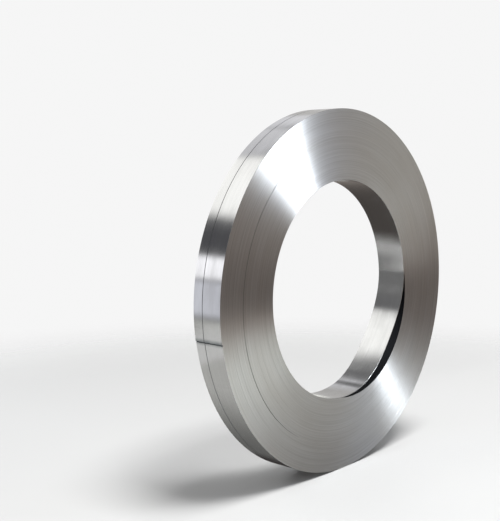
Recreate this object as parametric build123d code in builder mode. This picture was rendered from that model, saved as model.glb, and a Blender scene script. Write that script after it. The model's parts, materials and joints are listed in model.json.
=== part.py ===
from build123d import *
from math import cos, radians, sin
import os

# A coil of steel strip that stands on its rim, with its eye along Y.
# Angles run from +X towards +Z, as seen from the near end at -Y.
# Lengths are in millimetres and angles in degrees.

# The strip and the mandrel it was wound on
eye_radius = 254.0
strip_width = 75.0
strip_thickness = 1.5

# The turns, which show on the ends as rings that were wound a little to one side of each other
inner_turns = 12
ring_count = 11
ring_turns = 9
ring_shift = 0.5
ring_shift_share = 0.382

# The open line on each end where one ring stands off from the next over part of a turn
line_ring_count = 7
line_width = 1.2
line_depth = 5.0
line_start_angle = 105.0
line_end_angle = 245.0

# The strip's outer end, which lies on the turn under it
tail_angle = 189.0

# The line scored round the rim
score_from_far_edge = 25.0
score_width = 1.6
score_depth = 0.5

# The innermost turn, which has sprung in at one side and left a gap behind it
eye_left = 6.5
eye_up = 5.5
gap_angle = 317.0
gap_half_span = 48.0
gap_width = 17.0

# Where each ring of turns starts, and how far it was wound to the far side
ring_starts = [0]
ring_shifts = [0]
for ring in range(ring_count):
    turns_inside = inner_turns + ring * ring_turns
    ring_starts.append(eye_radius + turns_inside * strip_thickness)
    ring_shifts.append(ring_shift * ((ring + 1) * ring_shift_share % 1))
outer_ring_radius = ring_starts[-1]
rim_radius = outer_ring_radius + ring_turns * strip_thickness

# The coil's middle and the planes it is drawn on
middle = (0, 0, rim_radius)
coil_axis = Axis(middle, (0, -1, 0))
end_plane = Plane(origin=middle, x_dir=(1, 0, 0), z_dir=(0, -1, 0))
eye_middle = (-eye_left, eye_up)


def section_plane(angle):
    """The plane through the axis at an angle, with its X outward and its Y along the axis."""
    across = cos(radians(angle))
    up = sin(radians(angle))
    return Plane(origin=middle, x_dir=(across, 0, up), z_dir=(-up, 0, across))


def on_circle(radius, angle, centre=(0, 0)):
    """A point at an angle on a circle in the plane of an end."""
    across = centre[0] + radius * cos(radians(angle))
    up = centre[1] + radius * sin(radians(angle))
    return (across, up)


def draw_rim(inset, mode=Mode.ADD):
    """The outline of the rim, drawn in by an inset.

    The last half turn climbs onto the turn under it and stops at the strip's end,
    so the upper half is an arc about a middle that is half a strip off the coil's.
    """
    under = rim_radius - inset
    over = under + strip_thickness / 2
    over_centre = on_circle(strip_thickness / 2, tail_angle)
    tail_top = on_circle(over, tail_angle, over_centre)
    tail_foot = on_circle(under, tail_angle)
    start = on_circle(under, tail_angle - 180)
    over_middle = on_circle(over, tail_angle - 90, over_centre)
    under_middle = on_circle(under, tail_angle + 90)
    with BuildLine() as outline:
        ThreePointArc(tail_top, over_middle, start)
        ThreePointArc(start, under_middle, tail_foot)
        Line(tail_foot, tail_top)
    make_face(outline.edges(), mode=mode)


# The half section of the rings inside the outermost one, along the near end and back
near_end = []
far_end = []
for ring in range(ring_count):
    near_side = ring_shifts[ring] - strip_width / 2
    far_side = ring_shifts[ring] + strip_width / 2
    for radius in (ring_starts[ring], ring_starts[ring + 1]):
        near_end.append((radius, near_side))
        far_end.append((radius, far_side))
section = near_end + far_end[::-1]

# The circle that bounds the gap, through its two tips and its widest place
wrap_radius = eye_radius + strip_thickness
gap_reach = wrap_radius + gap_width
tip_reach = wrap_radius * cos(radians(gap_half_span))
gap_offset = (gap_reach**2 - wrap_radius**2) / (2 * (gap_reach - tip_reach))
gap_radius = gap_reach - gap_offset

with BuildPart() as strip_coil:
    with BuildSketch(section_plane(0)):
        with BuildLine():
            Polyline(*section, close=True)
        make_face()
    revolve(axis=coil_axis)

    # The outermost ring, with the strip's end on it
    with BuildSketch(end_plane):
        draw_rim(0)
        Circle(outer_ring_radius, mode=Mode.SUBTRACT)
    extrude(amount=strip_width / 2, both=True)

    # The open line on both ends
    line_middle = ring_starts[line_ring_count] + line_width / 2
    with BuildSketch(section_plane(line_start_angle)):
        for side in (-1, 1):
            with Locations((line_middle, side * strip_width / 2)):
                Rectangle(line_width, 2 * line_depth)
    line_arc = line_end_angle - line_start_angle
    revolve(axis=coil_axis, revolution_arc=line_arc, mode=Mode.SUBTRACT)

    # The scored line, as deep under the strip's end as anywhere else
    with BuildSketch(end_plane.offset(score_from_far_edge - strip_width / 2)):
        Circle(rim_radius + 2 * strip_thickness)
        draw_rim(score_depth, mode=Mode.SUBTRACT)
    extrude(amount=score_width / 2, both=True, mode=Mode.SUBTRACT)

    # The eye
    with BuildSketch(end_plane):
        with Locations(eye_middle):
            Circle(eye_radius)
    extrude(amount=strip_width, both=True, mode=Mode.SUBTRACT)

    # The gap behind the innermost turn, open at both ends
    with BuildSketch(end_plane):
        with Locations(on_circle(gap_offset, gap_angle, eye_middle)):
            Circle(gap_radius)
        with Locations(eye_middle):
            Circle(wrap_radius, mode=Mode.SUBTRACT)
    extrude(amount=strip_width, both=True, mode=Mode.SUBTRACT)

strip_coil.part.label = "strip_coil"
os.makedirs("parts", exist_ok=True)
export_step(strip_coil.part, "parts/strip_coil.step")
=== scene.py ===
import json
import math
import random

import bmesh
import bpy
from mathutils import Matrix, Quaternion, Vector


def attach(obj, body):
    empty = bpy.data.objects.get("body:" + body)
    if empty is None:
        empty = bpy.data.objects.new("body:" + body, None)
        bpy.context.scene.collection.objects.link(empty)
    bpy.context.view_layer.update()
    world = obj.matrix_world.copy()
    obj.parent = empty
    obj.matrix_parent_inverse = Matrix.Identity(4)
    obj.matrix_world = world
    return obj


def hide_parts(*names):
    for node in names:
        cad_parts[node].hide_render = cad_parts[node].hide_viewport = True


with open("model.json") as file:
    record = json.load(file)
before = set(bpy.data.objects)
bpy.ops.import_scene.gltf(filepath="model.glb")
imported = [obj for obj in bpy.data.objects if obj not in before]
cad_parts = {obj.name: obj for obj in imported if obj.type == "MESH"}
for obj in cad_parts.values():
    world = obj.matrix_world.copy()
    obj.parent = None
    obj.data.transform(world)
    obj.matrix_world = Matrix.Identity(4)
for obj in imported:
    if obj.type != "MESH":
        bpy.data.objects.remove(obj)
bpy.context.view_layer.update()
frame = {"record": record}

# The coil stands on its rim on the floor, with its axis along Y and its near end at -Y.
# Lengths are in metres. Angles run from +X towards +Z, as seen from the near end.

# Sizes that the frame gives
millimetres_per_metre = 1000
mounts = {mount["name"]: mount for mount in frame["record"]["mounts"]}
eye_radius = mounts["eye"]["dims"]["r_mm"] / millimetres_per_metre
strip_width = mounts["eye"]["dims"]["length_mm"] / millimetres_per_metre
eye_x, _, eye_z = mounts["eye"]["pos_m"]

# Sizes that the part's source gives and the frame doesn't
strip_thickness = 0.0015
inner_turns = 12
ring_count = 11
ring_turns = 9
ring_shift = 0.0005
ring_shift_share = 0.382
line_ring_count = 7
line_width = 0.0012
line_depth = 0.005
line_start_angle = math.radians(105)
line_end_angle = math.radians(245)
tail_angle = math.radians(189)
score_from_far_edge = 0.025
score_width = 0.0016
score_depth = 0.0005
gap_angle = math.radians(317)
gap_half_span = math.radians(48)
gap_width = 0.017

# What follows from those sizes
turn_count = inner_turns + ring_count * ring_turns
line_turn = inner_turns + (line_ring_count - 1) * ring_turns
rim_radius = eye_radius + turn_count * strip_thickness
half_width = strip_width / 2
eye_middle = (eye_x, eye_z - rim_radius)

# How the innermost turn dips further into the eye than a true circle
dip = 0.015
dip_angle = math.radians(325)
dip_half_span = math.radians(42)

# The dark line under the strip's end, which is painted shade, and the painted shade and dirt beside it,
# and the ends of the open line, which close slowly
tail_gap = 0.003
tail_gap_depth = 0.0008
shade_and_dirt_reach = 0.005
line_fade_angle = math.radians(20)

# Fine relief
column_count = 200
turn_shift = 0.00012
edge_break = 0.00025
sharp_angle = math.radians(30)
merge_distance = 1e-7

# Material slots of the pieces
edge_slot = 0
face_slot = 1
# The dark slot holds the painted shade of the narrow places
dark_slot = 2

# The start of the turns' random shifts
shift_seed = 7
random.seed(shift_seed)


def on_circle(radius, angle, centre=(0, 0)):
    """A point at an angle on a circle in the plane of an end."""
    return (centre[0] + radius * math.cos(angle), centre[1] + radius * math.sin(angle))


def reach(angle, centre, radius):
    """How far from the coil's middle a ray at an angle leaves a circle about another point."""
    along = centre[0] * math.cos(angle) + centre[1] * math.sin(angle)
    aside = centre[1] * math.cos(angle) - centre[0] * math.sin(angle)
    return along + math.sqrt(radius**2 - aside**2)


def gap_circle():
    """The middle and radius of the circle that bounds the gap behind the innermost turn."""
    wrap_radius = eye_radius + strip_thickness
    far_reach = wrap_radius + gap_width
    tip_reach = wrap_radius * math.cos(gap_half_span)
    offset = (far_reach**2 - wrap_radius**2) / (2 * (far_reach - tip_reach))
    return on_circle(offset, gap_angle, eye_middle), far_reach - offset


gap_middle, gap_radius = gap_circle()
tail_middle = on_circle(strip_thickness / 2, tail_angle)


def turn_edges(angle, rim):
    """The radius where each turn but the innermost starts, and where the last one's flat edge ends."""
    wrap_edge = reach(angle, eye_middle, eye_radius + strip_thickness)
    pack_edge = max(wrap_edge, reach(angle, gap_middle, gap_radius))
    round_edge = eye_radius + inner_turns * strip_thickness
    edges = []
    for turn in range(1, turn_count):
        if turn < inner_turns:
            share = (turn - 1) / (inner_turns - 1)
            edges.append(pack_edge + share * (round_edge - pack_edge))
        else:
            edges.append(eye_radius + turn * strip_thickness)
    edges.append(rim - edge_break)
    return edges


def wrap_reach(angle):
    """The inner radius of the innermost turn, which dips into the eye at one side."""
    aside = (angle - dip_angle + math.pi) % (2 * math.pi) - math.pi
    share = 0
    if abs(aside) < dip_half_span:
        share = math.cos(aside / dip_half_span * math.pi / 2)**2
    return reach(angle, eye_middle, eye_radius) - dip * share


def line_share(angle):
    """How far the open line has opened at an angle, from 0 to 1."""
    past_start = (angle - line_start_angle) % (2 * math.pi)
    before_end = line_end_angle - line_start_angle - past_start
    return max(0, min(1, past_start / line_fade_angle, before_end / line_fade_angle))


def turn_shifts():
    """How far each turn was wound to the far side: its ring's shift and a little of its own."""
    shifts = []
    for turn in range(turn_count):
        ring = (turn - inner_turns) // ring_turns + 1
        shift = 0
        if 0 < ring < ring_count:
            shift = ring_shift * (ring * ring_shift_share % 1)
        if 0 < turn < turn_count - 1:
            shift += random.uniform(0, turn_shift)
        shifts.append(shift)
    return shifts


def swept_ring(name, sections):
    """A closed ring through one section a column, each with the material slot of each of its sides."""
    bm = bmesh.new()
    columns = []
    for angle, section, slots in sections:
        column = []
        for radius, along in section:
            x, z = on_circle(radius, angle, (0, rim_radius))
            column.append(bm.verts.new((x, along, z)))
        columns.append((column, slots))
    for (here, slots), (there, _) in zip(columns, columns[1:] + columns[:1]):
        for side, slot in enumerate(slots):
            ahead = (side + 1) % len(slots)
            face = bm.faces.new((here[side], here[ahead], there[ahead], there[side]))
            face.material_index = slot
    bmesh.ops.remove_doubles(bm, verts=bm.verts, dist=merge_distance)
    bmesh.ops.recalc_face_normals(bm, faces=bm.faces)
    mesh = bpy.data.meshes.new(name)
    bm.to_mesh(mesh)
    bm.free()
    mesh.shade_smooth()
    mesh.set_sharp_from_angle(angle=sharp_angle)
    piece = bpy.data.objects.new(name, mesh)
    bpy.context.scene.collection.objects.link(piece)
    return piece


def columns_round():
    """The angle of each column, the rim's radius there and whether the rim up to the next is dark with
    painted shade.

    The columns start in the narrow gap under the strip's end and stop on top of the strip's end.
    """
    gap_end = tail_angle + tail_gap / rim_radius
    yield tail_angle, rim_radius - tail_gap_depth, True
    yield gap_end, rim_radius - tail_gap_depth, True
    yield gap_end, rim_radius, False
    for column in range(1, column_count + 1):
        turned = column / column_count * 2 * math.pi
        angle = tail_angle + turned
        rim = rim_radius
        if turned > math.pi:
            rim = reach(angle, tail_middle, rim_radius + strip_thickness / 2)
        yield angle, rim, column == column_count


def pack_section(angle, rim, shifts, dark_rim):
    """The section of all turns but the innermost, and the material slot of each of its sides."""
    edges = turn_edges(angle, rim)
    score = half_width - score_from_far_edge
    near_end = []
    far_end = []
    for turn, (start, stop) in enumerate(zip(edges, edges[1:]), 1):
        if turn == line_turn:
            opening = line_share(angle)
            depth = opening * line_depth
            for radius in (start, start + opening * line_width):
                near_end.append((radius, shifts[turn] - half_width + depth))
                far_end.append((radius, shifts[turn] + half_width - depth))
            start += opening * line_width
        for radius in (start, stop):
            near_end.append((radius, shifts[turn] - half_width))
            far_end.append((radius, shifts[turn] + half_width))
    rim_side = [
        (rim, edge_break - half_width),
        (rim, score - score_width / 2),
        (rim - score_depth, score),
        (rim, score + score_width / 2),
        (rim, half_width - edge_break),
    ]
    section = near_end + rim_side + far_end[::-1]
    # The rim under and at the strip's end, the score's groove and the inner side behind the innermost turn
    # get painted shade
    plain = dark_slot if dark_rim else face_slot
    end_slots = [edge_slot] * (len(near_end) - 1)
    slots = end_slots + [plain, plain, dark_slot, dark_slot, plain, plain] + end_slots + [dark_slot]
    return section, slots


def make_pack():
    """All turns but the innermost, as one ring."""
    shifts = turn_shifts()
    sections = []
    for angle, rim, dark_rim in columns_round():
        section, slots = pack_section(angle, rim, shifts, dark_rim)
        sections.append((angle, section, slots))
    return swept_ring("wound_turns", sections)


def make_wrap():
    """The innermost turn, which has sprung in, with its edges broken."""
    slots = [edge_slot, edge_slot, face_slot, edge_slot, edge_slot, edge_slot, face_slot, edge_slot]
    sections = []
    for column in range(column_count):
        angle = column / column_count * 2 * math.pi
        inner = wrap_reach(angle)
        outer = inner + strip_thickness
        section = [
            (inner + edge_break, -half_width),
            (outer - edge_break, -half_width),
            (outer, edge_break - half_width),
            (outer, half_width - edge_break),
            (outer - edge_break, half_width),
            (inner + edge_break, half_width),
            (inner, half_width - edge_break),
            (inner, edge_break - half_width),
        ]
        sections.append((angle, section, slots))
    return swept_ring("inner_wrap", sections)


# Materials

# The range that a noise texture's values mostly lie in
noise_low = 0.3
noise_high = 0.7

# The sockets of a Mix node that are for colours: its share, its two colours and its result
mix_inputs = (0, 6, 7)
mix_output = 2


def add(tree, kind, **settings):
    """A new node with its settings."""
    node = tree.nodes.new(kind)
    for name, value in settings.items():
        setattr(node, name, value)
    return node


def plug(tree, socket, value):
    """Sets an input to a value, or links it to another node's output."""
    if isinstance(value, bpy.types.NodeSocket):
        tree.links.new(value, socket)
    else:
        socket.default_value = value


def feed(tree, node, **inputs):
    """Sets or links a node's inputs, whose names are written with _ for a space."""
    for name, value in inputs.items():
        plug(tree, node.inputs[name.replace("_", " ")], value)


def calculate(tree, operation, *values):
    """The output of a Math node on values or links."""
    node = add(tree, "ShaderNodeMath", operation=operation)
    for socket, value in zip(node.inputs, values):
        plug(tree, socket, value)
    return node.outputs[0]


def soft_window(tree, value, low, high, soft):
    """1 where a value lies between two bounds and 0 outside, with soft edges."""
    inside = []
    for bound in (low, high):
        edge = add(tree, "ShaderNodeMapRange", interpolation_type="SMOOTHSTEP")
        feed(tree, edge, Value=value, From_Min=bound - soft, From_Max=bound + soft)
        inside.append(edge.outputs["Result"])
    return calculate(tree, "SUBTRACT", *inside)


def place_parts(tree):
    """The three parts of a point's place on the object."""
    apart = add(tree, "ShaderNodeSeparateXYZ")
    plug(tree, apart.inputs[0], add(tree, "ShaderNodeTexCoord").outputs["Object"])
    return apart.outputs


def turned_place(tree, angle):
    """How far out from the coil's middle a point lies at an angle, and how far aside of that."""
    across, _, height = place_parts(tree)
    up = calculate(tree, "SUBTRACT", height, rim_radius)
    across_out = calculate(tree, "MULTIPLY", across, math.cos(angle))
    up_out = calculate(tree, "MULTIPLY", up, math.sin(angle))
    across_aside = calculate(tree, "MULTIPLY", across, math.sin(angle))
    up_aside = calculate(tree, "MULTIPLY", up, math.cos(angle))
    outward = calculate(tree, "ADD", across_out, up_out)
    aside = calculate(tree, "SUBTRACT", up_aside, across_aside)
    return outward, aside


def coil_radius(tree):
    """How far from the coil's axis a point lies."""
    outward, aside = turned_place(tree, 0)
    outward_square = calculate(tree, "MULTIPLY", outward, outward)
    aside_square = calculate(tree, "MULTIPLY", aside, aside)
    return calculate(tree, "SQRT", calculate(tree, "ADD", outward_square, aside_square))


def round_the_coil(tree, around=1.0, outward=0.0, along=0.0):
    """Texture coordinates that run round the coil with no seam, stretched by a scale each way."""
    across, sideways, height = place_parts(tree)
    up = calculate(tree, "SUBTRACT", height, rim_radius)
    radius = coil_radius(tree)
    shrink = calculate(tree, "DIVIDE", around, radius)
    out_layer = calculate(tree, "MULTIPLY", radius, outward)
    side_layer = calculate(tree, "MULTIPLY", sideways, along)
    joined = add(tree, "ShaderNodeCombineXYZ")
    plug(tree, joined.inputs["X"], calculate(tree, "MULTIPLY", across, shrink))
    plug(tree, joined.inputs["Y"], calculate(tree, "MULTIPLY", up, shrink))
    plug(tree, joined.inputs["Z"], calculate(tree, "ADD", out_layer, side_layer))
    return joined.outputs[0]


def noise(tree, vector, detail=3.0):
    """The grey output of a noise texture."""
    node = add(tree, "ShaderNodeTexNoise")
    feed(tree, node, Vector=vector, Scale=1.0, Detail=detail)
    return node.outputs["Fac"]


def spread(tree, value, low, high):
    """A noise stretched from the range that it mostly lies in to low..high."""
    node = add(tree, "ShaderNodeMapRange")
    feed(tree, node, Value=value, From_Min=noise_low, From_Max=noise_high, To_Min=low, To_Max=high)
    return node.outputs["Result"]


def mixed(tree, share, first, second):
    """Two colours or links mixed by a share."""
    node = add(tree, "ShaderNodeMix", data_type="RGBA")
    for place, value in zip(mix_inputs, (share, first, second)):
        plug(tree, node.inputs[place], value)
    return node.outputs[mix_output]


def steel(name, anisotropy):
    """A metal material that is brushed round the coil, so its highlights stretch across the turns."""
    quarter_turn = 0.25
    material = bpy.data.materials.new(name)
    material.use_nodes = True
    tree = material.node_tree
    shader = tree.nodes["Principled BSDF"]
    feed(tree, shader, Metallic=1.0, Anisotropic=anisotropy, Anisotropic_Rotation=quarter_turn)
    tangent = add(tree, "ShaderNodeTangent", direction_type="RADIAL", axis="Y")
    feed(tree, shader, Tangent=tangent.outputs[0])
    return material, tree, shader


def make_edge_steel():
    """The ends: slit strip edges, side by side, each turn a little brighter or duller than the next."""
    dull = (0.48, 0.475, 0.46, 1)
    bright = (0.60, 0.595, 0.585, 1)
    stain = (0.45, 0.42, 0.38, 1)
    most_stain = 0.35
    anisotropy = 0.985
    smoothest = 0.385
    roughest = 0.415
    grain_around = 1.4
    grains_per_turn = 0.9
    grain_detail = 2.0
    patch_around = 2.0
    patch_outward = 12.0
    material, tree, shader = steel("slit_edges", anisotropy)
    grain_place = round_the_coil(tree, around=grain_around, outward=grains_per_turn / strip_thickness)
    turn_grain = noise(tree, grain_place, grain_detail)
    patches = noise(tree, round_the_coil(tree, around=patch_around, outward=patch_outward))
    colour = mixed(tree, spread(tree, turn_grain, 0, 1), dull, bright)
    colour = mixed(tree, spread(tree, patches, 0, most_stain), colour, stain)
    roughness = spread(tree, turn_grain, smoothest, roughest)
    feed(tree, shader, Base_Color=colour, Roughness=roughness)
    return material


def tail_shade_and_dirt(tree):
    """How much painted shade and dirt darken the rim beside the strip's end, from 0 to 1."""
    least_patch_share = 0.5
    most_patch_share = 0.9
    patch_around = 20.0
    patch_along = 60.0
    outward, aside = turned_place(tree, tail_angle)
    beside = soft_window(tree, aside, -shade_and_dirt_reach, shade_and_dirt_reach, shade_and_dirt_reach)
    on_rim = soft_window(tree, outward, rim_radius - half_width, rim_radius + half_width, half_width / 2)
    close_by = calculate(tree, "MULTIPLY", beside, on_rim)
    patches = noise(tree, round_the_coil(tree, around=patch_around, along=patch_along))
    return calculate(tree, "MULTIPLY", close_by, spread(tree, patches, least_patch_share, most_patch_share))


def make_strip_steel():
    """The rim and the eye: the bright rolled face of the strip."""
    dull = (0.54, 0.54, 0.535, 1)
    bright = (0.62, 0.62, 0.615, 1)
    hazy = (0.46, 0.455, 0.44, 1)
    dirty_shade = (0.13, 0.15, 0.155, 1)
    most_haze = 0.25
    anisotropy = 0.6
    smoothest = 0.10
    roughest = 0.16
    lines_along = 1500.0
    line_bump = 0.04
    line_height = 0.0002
    haze_around = 6.0
    haze_along = 40.0
    material, tree, shader = steel("rolled_face", anisotropy)
    lines = noise(tree, round_the_coil(tree, along=lines_along))
    haze = noise(tree, round_the_coil(tree, around=haze_around, along=haze_along))
    colour = mixed(tree, spread(tree, lines, 0, 1), dull, bright)
    colour = mixed(tree, spread(tree, haze, 0, most_haze), colour, hazy)
    # Painted shade and dirt beside the strip's end
    colour = mixed(tree, tail_shade_and_dirt(tree), colour, dirty_shade)
    bump = add(tree, "ShaderNodeBump")
    feed(tree, bump, Strength=line_bump, Distance=line_height, Height=lines)
    roughness = spread(tree, haze, smoothest, roughest)
    feed(tree, shader, Base_Color=colour, Roughness=roughness, Normal=bump.outputs[0])
    return material


def make_dark_steel():
    """The narrow places, with painted shade: black behind the innermost turn, and a mottled grey of painted
    shade and dirt on the rim.
    """
    black_shade = (0.018, 0.018, 0.02, 1)
    grey_shade_and_dirt = (0.15, 0.155, 0.16, 1)
    least_patch_share = 0.6
    most_patch_share = 1.0
    anisotropy = 0.0
    smoothest = 0.5
    roughest = 0.7
    mottle_around = 20.0
    mottle_along = 300.0
    material, tree, shader = steel("painted_shade_steel", anisotropy)
    mottle = noise(tree, round_the_coil(tree, around=mottle_around, along=mottle_along))
    outward = add(tree, "ShaderNodeMapRange")
    feed(tree, outward, Value=coil_radius(tree), From_Min=eye_radius, From_Max=rim_radius)
    patches = spread(tree, mottle, least_patch_share, most_patch_share)
    share = calculate(tree, "MULTIPLY", outward.outputs["Result"], patches)
    roughness = spread(tree, mottle, smoothest, roughest)
    # Painted shade: black near the eye, and a patchy grey of shade and dirt out at the rim
    feed(tree, shader, Base_Color=mixed(tree, share, black_shade, grey_shade_and_dirt), Roughness=roughness)
    return material


steels = [make_edge_steel(), make_strip_steel(), make_dark_steel()]
for piece in (make_pack(), make_wrap()):
    for material in steels:
        piece.data.materials.append(material)
    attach(piece, "root")
    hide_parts("strip_coil")


# The studio

# Walls of the room that the steel mirrors, painted one over another: the bearings in degrees from +X
# towards +Y and the heights, from -1 straight down to 1 straight up, that each lies between, how soft
# its upper and lower edges are, and its colour
walls = [
    # In front of the near end: the room, the floor far off, a warm wall with a dark one in it, a grey wall
    # and a window
    ((-200, 2), (-1.1, 1.1), 0.05, (0.43, 0.43, 0.43)),
    ((-200, 200), (-1.1, -0.24), 0.05, (0.85, 0.86, 0.82)),
    ((-140, -5), (-0.28, 0.08), 0.05, (0.52, 0.42, 0.35)),
    ((-125, -25), (-0.25, -0.08), 0.03, (0.03, 0.0, 0.0)),
    ((-140, -62), (-0.28, 0.36), 0.06, (0.18, 0.17, 0.165)),
    ((-54, -33), (0.15, 0.90), 0.08, (0.75, 0.83, 0.98)),
    # Behind, as the rim and the eye show it, from the right to the left
    ((15, 50), (0.05, 0.56), 0.05, (0.60, 0.59, 0.58)),
    ((15, 50), (-0.12, 0.05), 0.03, (1.10, 1.10, 1.05)),
    ((42, 56), (0.40, 0.61), 0.03, (0.92, 0.92, 0.96)),
    ((54, 84), (0.54, 0.76), 0.03, (0.92, 0.92, 0.96)),
    ((84, 139), (0.55, 0.79), 0.04, (1.60, 1.60, 1.58)),
    ((116, 139), (0.31, 0.49), 0.05, (0.11, 0.11, 0.12)),
    ((60, 139), (-0.20, 0.08), 0.04, (1.00, 1.02, 1.12)),
    ((126, 139), (0.10, 0.27), 0.03, (1.80, 1.80, 1.88)),
    ((141, 200), (-0.25, 0.36), 0.06, (0.22, 0.22, 0.22)),
    # To the right and the left, for the rim as the sides see it
    ((-6, 12), (0.20, 0.65), 0.15, (0.85, 0.86, 0.88)),
    ((164, 200), (0.15, 0.60), 0.15, (0.85, 0.86, 0.88)),
    ((-200, -164), (0.15, 0.60), 0.15, (0.85, 0.86, 0.88)),
]
back_room = (0.22, 0.22, 0.225, 1)
backdrop = (0.92, 0.92, 0.92, 1)
bearing_soft = math.radians(4)

# Cards on the floor that only the steel mirrors, glowing sheets that paint light and shade into its
# reflections: the name and height of each, two opposite corners before it is turned, how far it fades in
# from its edges across and along, its strength, its colour and its turn about Z in degrees
cards = [
    # In front of the near end, painted reflections: a glowing bright floor, a warm strip far off and painted
    # shade before the coil
    ("pale_card", 0.001, (-1.1, -1.4), (1.5, -0.1), (0.35, 0.35), 0.85, (1.38, 1.46, 1.42), 0),
    ("warm_card", 0.0015, (-1.8, -2.0), (0.9, -1.1), (0.3, 0.15), 0.8, (0.46, 0.30, 0.23), 0),
    ("near_card", 0.002, (-0.5, -0.6), (0.9, 0.4), (0.25, 0.25), 0.72, (0.1, 0.1, 0.1), 0),
    # Behind at the left: painted shade for the side of the eye
    ("left_card", 0.003, (-2.0, 0.14), (-0.3, 1.6), (0.3, 0.025), 0.75, (0.1, 0.1, 0.1), -32),
    # Beside the rim: a painted reflection of the floor, and painted shade that darkens the rim towards its
    # foot
    ("rim_card", 0.004, (-0.95, -0.04), (0.3, 0.44), (0.05, 0.03), 0.9, (0.6, 0.6, 0.58), 0),
    ("foot_card", 0.0045, (-0.52, -0.04), (0.3, 0.4), (0.16, 0.03), 0.75, (0.02, 0.02, 0.02), 0),
    # Behind: painted dark and brown reflections for the top of the eye
    ("eye_card", 0.005, (-0.35, 0.2), (2.0, 1.6), (0.15, 0.08), 1.0, (0.09, 0.08, 0.075), 0),
    ("brown_card", 0.006, (0.2, 0.2), (2.6, 1.6), (0.6, 0.08), 1.0, (0.22, 0.195, 0.18), 0),
    # Painted shade under the rim, where it nearly meets the floor
    ("under_card", 0.007, (-0.21, -0.04), (-0.02, 0.2), (0.03, 0.03), 0.9, (0.03, 0.025, 0.025), 0),
]

# Soft lights: the name of each, its direction and distance from the coil's middle, its width and height,
# its roll in degrees, its power in watts, its colour, and whether the steel mirrors it and the floor is
# lit by it
lights = [
    ("floor_light", (0.03, -0.30, 0.953), 6.0, (2.3, 2.3), 0, 560, (1.0, 1.0, 1.0), False, True),
    ("near_light", (0.24, -0.71, 0.663), 1.0, (0.16, 0.6), 18, 15, (0.82, 0.90, 1.0), True, False),
    ("far_light", (0.0, 0.92, 0.39), 3.0, (0.6, 1.2), 0, 45, (0.9, 0.95, 1.0), True, False),
]


def make_world():
    """A pale backdrop for the picture, and the room with its walls for reflections."""
    world = bpy.data.worlds.new("studio")
    bpy.context.scene.world = world
    world.use_nodes = True
    tree = world.node_tree
    apart = add(tree, "ShaderNodeSeparateXYZ")
    plug(tree, apart.inputs[0], add(tree, "ShaderNodeTexCoord").outputs["Generated"])
    across, along, height = apart.outputs
    bearing = calculate(tree, "ARCTAN2", along, across)
    room = back_room
    for bearings, heights, soft, colour in walls:
        turned = soft_window(tree, bearing, *[math.radians(bound) for bound in bearings], bearing_soft)
        raised = soft_window(tree, height, *heights, soft)
        room = mixed(tree, calculate(tree, "MULTIPLY", turned, raised), room, (*colour, 1))
    camera_ray = add(tree, "ShaderNodeLightPath").outputs["Is Camera Ray"]
    feed(tree, tree.nodes["Background"], Color=mixed(tree, camera_ray, room, backdrop))


def stage_piece(name, bm):
    """A piece of the studio with a material of its own."""
    mesh = bpy.data.meshes.new(name)
    bm.to_mesh(mesh)
    bm.free()
    material = bpy.data.materials.new(name)
    material.use_nodes = True
    mesh.materials.append(material)
    piece = bpy.data.objects.new(name, mesh)
    bpy.context.scene.collection.objects.link(piece)
    return piece, material.node_tree


def make_floor():
    """A plain pale floor that fades out into the backdrop."""
    floor_radius = 2.2
    floor_sides = 96
    fade_start = 1.1
    grey = (0.52, 0.52, 0.515, 1)
    roughness = 0.8
    bm = bmesh.new()
    bmesh.ops.create_circle(bm, cap_ends=True, segments=floor_sides, radius=floor_radius)
    _, tree = stage_piece("floor", bm)
    length = add(tree, "ShaderNodeVectorMath", operation="LENGTH")
    plug(tree, length.inputs[0], add(tree, "ShaderNodeTexCoord").outputs["Object"])
    fade = add(tree, "ShaderNodeMapRange", interpolation_type="SMOOTHSTEP")
    distance = length.outputs["Value"]
    feed(tree, fade, Value=distance, From_Min=fade_start, From_Max=floor_radius, To_Min=1.0, To_Max=0.0)
    shader = tree.nodes["Principled BSDF"]
    feed(tree, shader, Base_Color=grey, Roughness=roughness, Alpha=fade.outputs["Result"])


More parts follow.
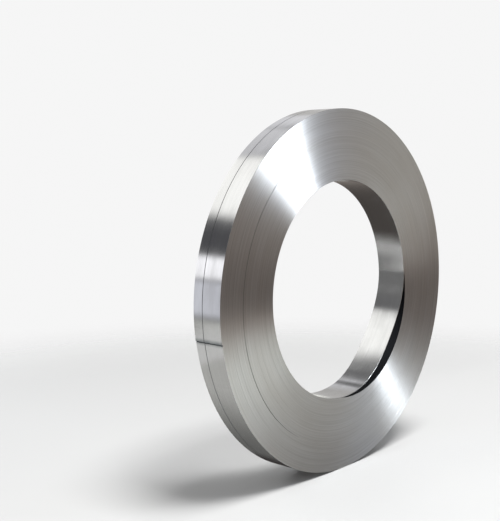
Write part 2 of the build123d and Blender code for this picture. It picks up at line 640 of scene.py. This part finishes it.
def make_card(name, lift, low, high, fade, strength, colour, turn):
    """A card with soft edges that lies on the floor, turned about Z, and shows only in the steel, where its
    glow is a painted reflection, bright or dark by its colour.
    """
    bm = bmesh.new()
    corners = [low, (high[0], low[1]), high, (low[0], high[1])]
    bm.faces.new([bm.verts.new((x, y, lift)) for x, y in corners])
    card, tree = stage_piece(name, bm)
    card.rotation_euler.z = math.radians(turn)
    card.visible_camera = False
    card.visible_diffuse = False
    card.visible_shadow = False
    across, along, _ = place_parts(tree)
    share = strength
    for side, value in enumerate((across, along)):
        inside = soft_window(tree, value, low[side] + fade[side], high[side] - fade[side], fade[side])
        share = calculate(tree, "MULTIPLY", share, inside)
    clear = add(tree, "ShaderNodeBsdfTransparent")
    glow = add(tree, "ShaderNodeEmission")
    feed(tree, glow, Color=(*colour, 1))
    joined = add(tree, "ShaderNodeMixShader")
    for socket, value in zip(joined.inputs, (share, clear.outputs[0], glow.outputs[0])):
        plug(tree, socket, value)
    plug(tree, tree.nodes["Material Output"].inputs["Surface"], joined.outputs[0])


def make_softbox(name, direction, distance, size, roll, power, colour, mirrored, on_floor):
    """A soft light that faces the coil's middle and doesn't show in the picture."""
    light = bpy.data.lights.new(name, "AREA")
    light.shape = "RECTANGLE"
    light.size, light.size_y = size
    light.energy = power
    light.color = colour
    softbox = bpy.data.objects.new(name, light)
    bpy.context.scene.collection.objects.link(softbox)
    aim = Vector(direction).normalized()
    softbox.location = Vector((0, 0, rim_radius)) + distance * aim
    turned = aim.to_track_quat("Z", "Y") @ Quaternion((0, 0, 1), math.radians(roll))
    softbox.rotation_euler = turned.to_euler()
    softbox.visible_camera = False
    softbox.visible_glossy = mirrored
    softbox.visible_diffuse = on_floor


def make_camera():
    """The camera that the photo's ellipses give, in units of the rim's radius from the near end's middle."""
    place_shares = Vector((-4.0685, -2.9458, 0.6871))
    forward = Vector((0.7397, 0.6651, -0.1024))
    focal_pixels = 911
    image_height_pixels = 521
    sensor_millimetres = 36
    camera = bpy.data.cameras.new("camera")
    # The sensor's width goes with the longer side of the picture, which is its height
    camera.sensor_width = sensor_millimetres
    camera.lens = focal_pixels / image_height_pixels * sensor_millimetres
    camera_object = bpy.data.objects.new("camera", camera)
    bpy.context.scene.collection.objects.link(camera_object)
    near_middle = Vector((0, -half_width, rim_radius))
    camera_object.location = near_middle + rim_radius * place_shares
    camera_object.rotation_euler = forward.to_track_quat("-Z", "Y").to_euler()
    bpy.context.scene.camera = camera_object


make_world()
make_floor()
for card in cards:
    make_card(*card)
for light in lights:
    make_softbox(*light)
make_camera()
bpy.context.scene.view_settings.view_transform = "Standard"
